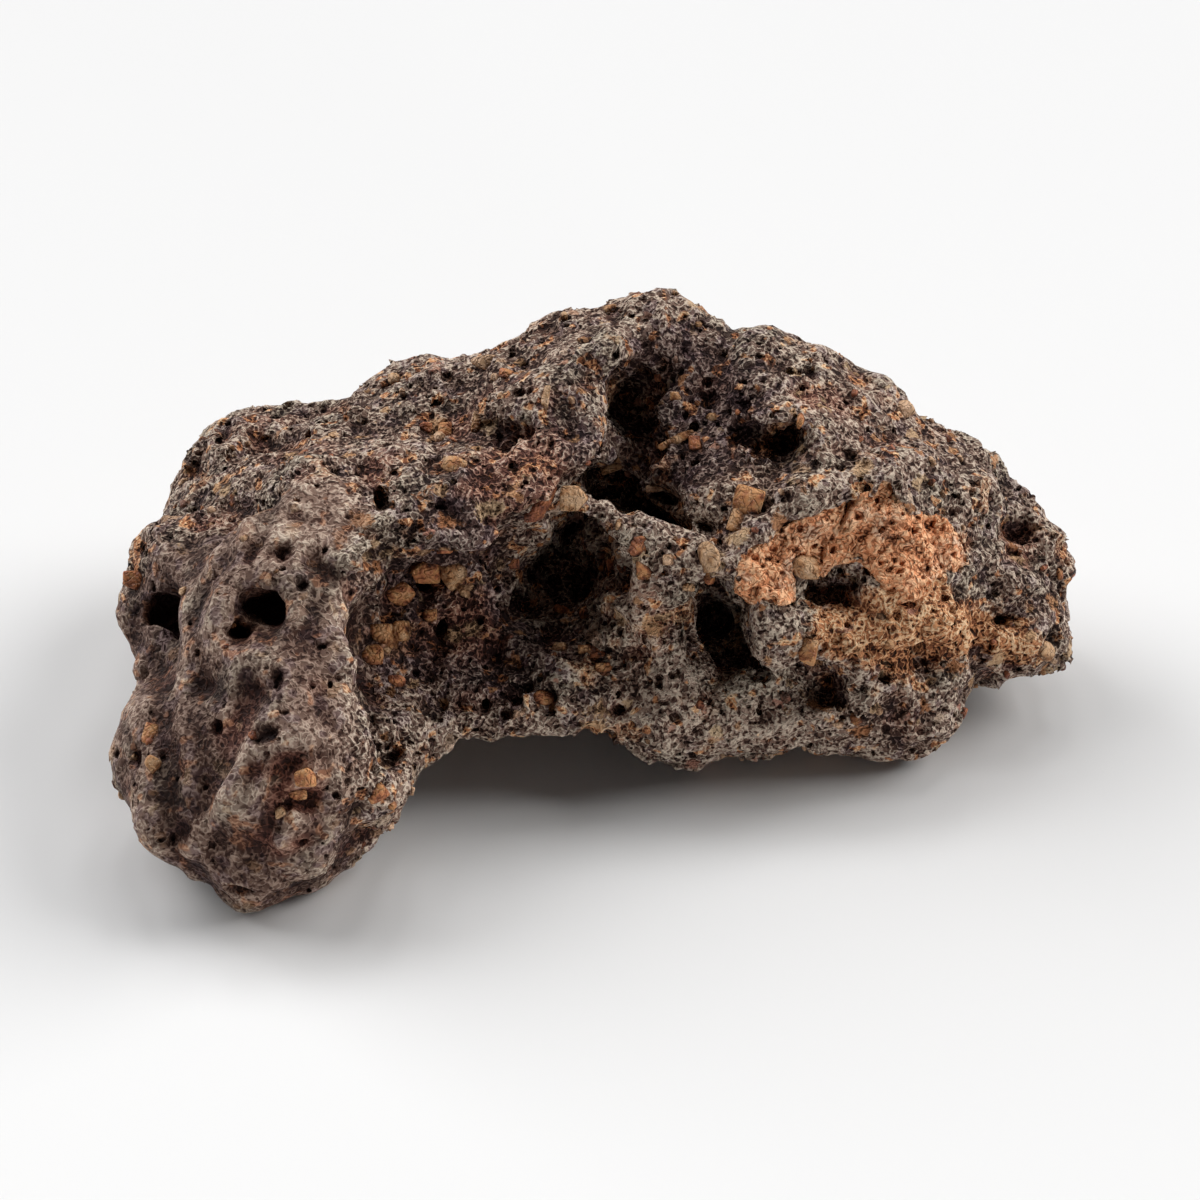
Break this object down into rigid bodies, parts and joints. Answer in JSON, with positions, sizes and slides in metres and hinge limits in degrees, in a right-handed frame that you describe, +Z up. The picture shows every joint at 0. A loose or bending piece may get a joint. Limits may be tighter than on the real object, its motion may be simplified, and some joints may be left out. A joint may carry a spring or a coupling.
{
  "type": "impactite",
  "caption": "Irregular lump of vesicular impact melt with a forward foot, a brow over a deep basin, blow-holes and a baked granite clast, resting on small flats.",
  "frame": {"origin": "centre of the bounding box's bottom face, on the plane the stone rests on", "axes": "+X along the stone's length towards its blunt thin end, +Y from the foot and basin to the back, +Z up"},
  "size_m": [0.0454, 0.0294, 0.0176],
  "materials": {
    "melt_rock": "dull frothy dark grey-brown melt with pale bubble rims and rusty specks",
    "granite_clast": "crumbly baked orange-tan granite",
    "lodged_grain": "worn amber, cream and pinkish feldspar and quartz grains"
  },
  "bodies": {
    "root": {"stone": "melt_rock"}
  },
  "joints": []
}
